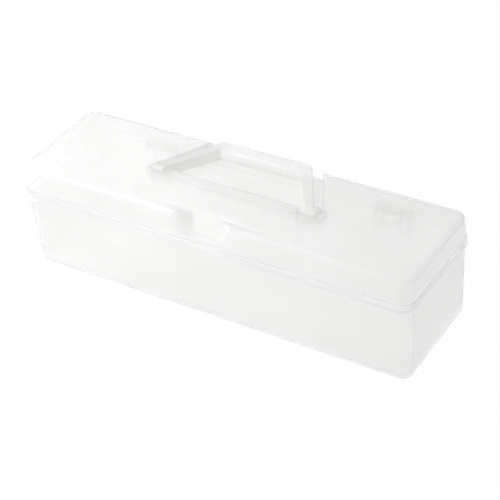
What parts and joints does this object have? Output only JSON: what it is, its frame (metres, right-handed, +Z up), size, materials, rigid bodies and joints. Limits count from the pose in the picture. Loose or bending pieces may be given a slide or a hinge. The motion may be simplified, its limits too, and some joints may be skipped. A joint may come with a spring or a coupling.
{
  "type": "art supply carry box",
  "caption": "Long narrow carry box in frosted translucent plastic: a tray, a hinged lid with a front finger recess, and a bail handle that folds back into a pocket in the lid.",
  "frame": {"origin": "middle of the flat underside", "axes": "+X along the box's length, +Y towards the hinge side, +Z up; the lid is shut and the handle lies folded back"},
  "size_m": [0.3748, 0.1189, 0.1004],
  "materials": {
    "frosted_shell": "natural polypropylene, milky and translucent, finely frosted",
    "frosted_handle": "natural polypropylene, thicker and so whiter than the shell, finely frosted",
    "hinge_pin": "natural polypropylene rod, satin"
  },
  "bodies": {
    "tray": {"base_tray": "frosted_shell", "hinge_pin_left": "hinge_pin", "hinge_pin_right": "hinge_pin"},
    "lid": {"lid": "frosted_shell"},
    "handle": {"carry_handle": "frosted_handle"}
  },
  "joints": [
    {"name": "lid_hinge", "type": "hinge", "parent": "tray", "child": "lid", "pos_m": [0, 0.059, 0.07], "axis": [-1, 0, 0], "range_deg": [0, 110]},
    {"name": "handle_pivot", "type": "hinge", "parent": "lid", "child": "handle", "pos_m": [0, 0, 0.0951], "axis": [1, 0, 0], "range_deg": [0, 95]}
  ]
}
